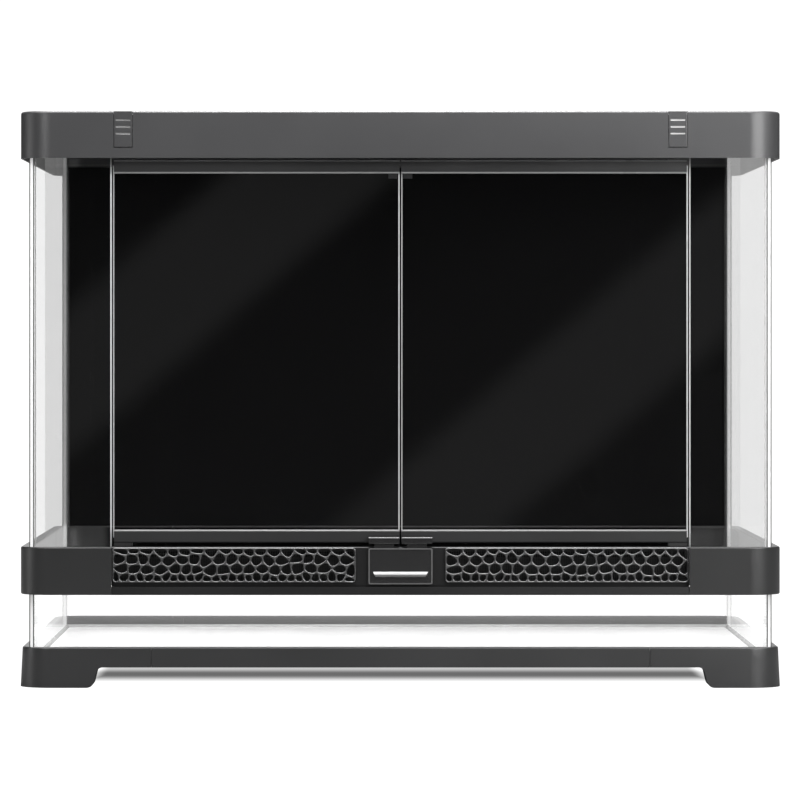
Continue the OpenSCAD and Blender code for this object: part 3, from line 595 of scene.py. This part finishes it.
def coated_wire(tree):
    mottle = tree.grain(700.0)
    return tree.node("ShaderNodeBsdfPrincipled", values={
        "Base Color": tree.mixed(mottle, grey(0.024), grey(0.044)),
        "Roughness": mottle.fade(0.2, 0.8, 0.32, 0.45), "Coat Weight": 0.2,
    })["BSDF"]


wire_grid = wire_grid_tree()
wire_black = surface("coated_wire", coated_wire)


def wire_sheet(name, pitch, thick, upright):
    """A sheet of wire in the place of a flat node; an upright one is turned to face the front."""
    low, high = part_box(name)
    size, middle = high - low, (high + low) / 2
    piece = bpy.data.objects.new(name + "_wires", bpy.data.meshes.new(name + "_wires"))
    scene.collection.objects.link(piece)
    grid = piece.modifiers.new("wires", "NODES")
    grid.node_group = wire_grid
    given = (item for item in wire_grid.interface.items_tree if item.in_out == "INPUT")
    sockets = {item.name: item.identifier for item in given}
    grid[sockets["Width"]] = size.x
    grid[sockets["Depth"]] = size.z if upright else size.y
    grid[sockets["Pitch"]] = pitch
    grid[sockets["Thickness"]] = thick
    grid[sockets["Material"]] = wire_black
    mesh = bpy.data.meshes.new_from_object(piece.evaluated_get(bpy.context.evaluated_depsgraph_get()))
    piece.modifiers.clear()
    piece.data = mesh
    for vertex in mesh.vertices:
        x, y, z = vertex.co
        vertex.co = middle + (Vector((x, -z, y)) if upright else Vector((x, y, z)))
    for face in mesh.polygons:
        face.use_smooth = True
    mesh.set_sharp_from_angle(angle=math.radians(70))
    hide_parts(name)
    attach(piece, home[name])


vent_pitch, vent_wire = 0.0014, 0.0004
wire_sheet("vent_mesh_left", vent_pitch, vent_wire, upright=True)
wire_sheet("vent_mesh_right", vent_pitch, vent_wire, upright=True)


# ---------- Belt ----------
# Two wrap-round mouldings and a rear rail in charcoal plastic go round the tank under the doors.
# Their front ends close up to the vent housing.
def painted_shade_behind_doors(here):
    """Painted shade on the rear wall's inner face, below its lip and behind the doors: how far it is darkened
    there.
    """
    face_from, face_to, lip, wall_end = (0.2, 0.201), (0.2255, 0.226), (0.1105, 0.111), (0.2525, 0.264)
    darkest = 0.93
    inner_face = here["Y"].fade(*face_from) * here["Y"].fade(*face_to, 1.0, 0.0)
    below_lip = here["Z"].fade(*lip, darkest, 0.0)
    return inner_face * below_lip * here["X"].unsigned().fade(*wall_end, 1.0, 0.0)


# This grey is the frames' charcoal plastic painted darker than the base, as painted shade; the door rails
# share it, and the rear rail's inner face behind the doors gets more painted shade.
charcoal_with_painted_shade = moulded_plastic(
    "charcoal_with_painted_shade", (0.02, 0.02, 0.0205), rough=0.33, grain=0.3, shade=painted_shade_behind_doors
)
housing_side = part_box("vent_housing")[1].x
closed_seam, open_seam, front_half = 0.00005, 0.00065, -0.1
for name in ("belt_left", "belt_right", "belt_rear"):
    piece = joined_copy(name)
    for vertex in piece.data.vertices:
        if vertex.co.y < front_half and abs(vertex.co.x) < housing_side + open_seam:
            vertex.co.x = math.copysign(housing_side + closed_seam, vertex.co.x)
    dressed(broken_edges(piece, 0.0002), charcoal_with_painted_shade, name)


# ---------- Rear panel ----------
# A smooth black plastic sheet stands behind the rear pane, from the rear belt rail up into the
# top frame.
panel_black = moulded_plastic("panel_black", (0.0024, 0.0024, 0.0026), rough=0.75, grain=0.1, gloss=0.1)
finished("background_panel", panel_black, width=0.0004)


# ---------- Top frame and cable inlets ----------
# One charcoal moulding closes the tank at the top. Four black shutters slide in tracks at the
# cable inlets in its back.
# This grey is the frames' charcoal plastic painted lighter than the base, as painted light; the lid frame and
# the clips share it.
charcoal = moulded_plastic("charcoal_plastic", (0.06, 0.06, 0.062), rough=0.33, grain=0.3)
finished("top_frame", charcoal, width=0.0003)
for number in range(1, 5):
    finished(f"inlet_shutter_{number}", vent_plastic, width=0.0002)


# ---------- Doors ----------
# Each leaf is a ground pane held in a moulded rail at its top and bottom, with a polished catch
# on the lower rail. The front edges of the top rails carry a painted highlight.
door_edge = ground_glass("door_edge", 0.8)
rail_painted_highlight = moulded_plastic("rail_painted_highlight", (0.38, 0.38, 0.382), rough=0.3, grain=0.1)
polished_charcoal = moulded_plastic("polished_charcoal", (0.017, 0.017, 0.0175), rough=0.2, grain=0.15)
for side in ("left", "right"):
    pane(f"{side}_door_glass", clear_glass, wide_grind, every_edge, door_edge)
    top_rail = finished(f"{side}_door_top_rail", charcoal_with_painted_shade, width=0.0005)
    # A painted highlight on the front edges of the top rail.
    painted(top_rail, rail_painted_highlight, lambda face: face.normal.y < turned_front and abs(face.normal.z) > turned_up)
    finished(f"{side}_door_bottom_rail", charcoal_with_painted_shade, width=0.0005)
    finished(f"{side}_door_catch", polished_charcoal, width=0.0005, steps=3)


# ---------- Hinge pins ----------
# Pins of drawn stainless steel are pressed into the vent housing and the top frame, and the rails
# turn on them.
def drawn_steel(tree):
    """Steel with fine marks along its length, which stands upright."""
    marks_across, marks_along = 900.0, 60.0
    drawn = tree.node("ShaderNodeMapping", values={
        "Vector": tree.place(), "Scale": (marks_across, marks_across, marks_along),
    })["Vector"]
    return tree.node("ShaderNodeBsdfPrincipled", values={
        "Base Color": grey(0.55), "Metallic": 1.0,
        "Roughness": tree.grain(1.0, place=drawn).fade(0.2, 0.8, 0.22, 0.38),
    })["BSDF"]


steel = surface("plain_steel", drawn_steel)
for name in ("hinge_pins_left", "hinge_pins_right"):
    finished(name, steel, width=0.0001, steps=1)


# ---------- Latch ----------
# A polished moulded plate with a rim and a finger ledge is pushed down to free the doors. A folded
# strip of spring steel, which stands on the housing's web, pushes it up again. The spring is given a
# mesh of its own.
def painted_highlight(piece, name, part, level, nearest, deepest):
    """Paints a highlight: a paler material on the faces of a piece between two depths behind its
    front, apart from those that face the back."""
    front, turned_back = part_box(name)[0].y, 0.1

    def chosen(face):
        return nearest < face.center.y - front < deepest and face.normal.y < turned_back

    painted(piece, moulded_plastic(f"{name}_{part}", grey(level)[:3], rough=0.25, grain=0.1), chosen)


hair, ledge_depth, rim_depth = 0.0001, 0.0021, 0.0026
latch_plate = finished("latch_plate", polished_charcoal, width=0.0005, steps=3)
# Painted highlights on the finger ledge and on the rim.
painted_highlight(latch_plate, "latch_plate", "ledge", 0.84, -hair, ledge_depth)
painted_highlight(latch_plate, "latch_plate", "rim", 0.14, ledge_depth, rim_depth)

latch_spring = finished("latch_spring", steel, width=0.0001, steps=1)
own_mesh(latch_spring)


# ---------- Lid ----------
# A charcoal frame holds a sheet of the coated wire and lies in the top frame. Two clips in the top
# frame's slots hook over it and have three grooves each for the fingertip.
lid_pitch, lid_wire, groove_depth = 0.0022, 0.0005, 0.0007
finished("lid_frame", charcoal, width=0.0005)
wire_sheet("lid_mesh", lid_pitch, lid_wire, upright=False)
# Painted highlights in the clips' grooves, brighter on the right clip.
for name, groove_highlight in (("lid_clip_left", 0.28), ("lid_clip_right", 0.56)):
    clip = finished(name, charcoal, width=0.0005)
    painted_highlight(clip, name, "grooves", groove_highlight, hair, groove_depth)
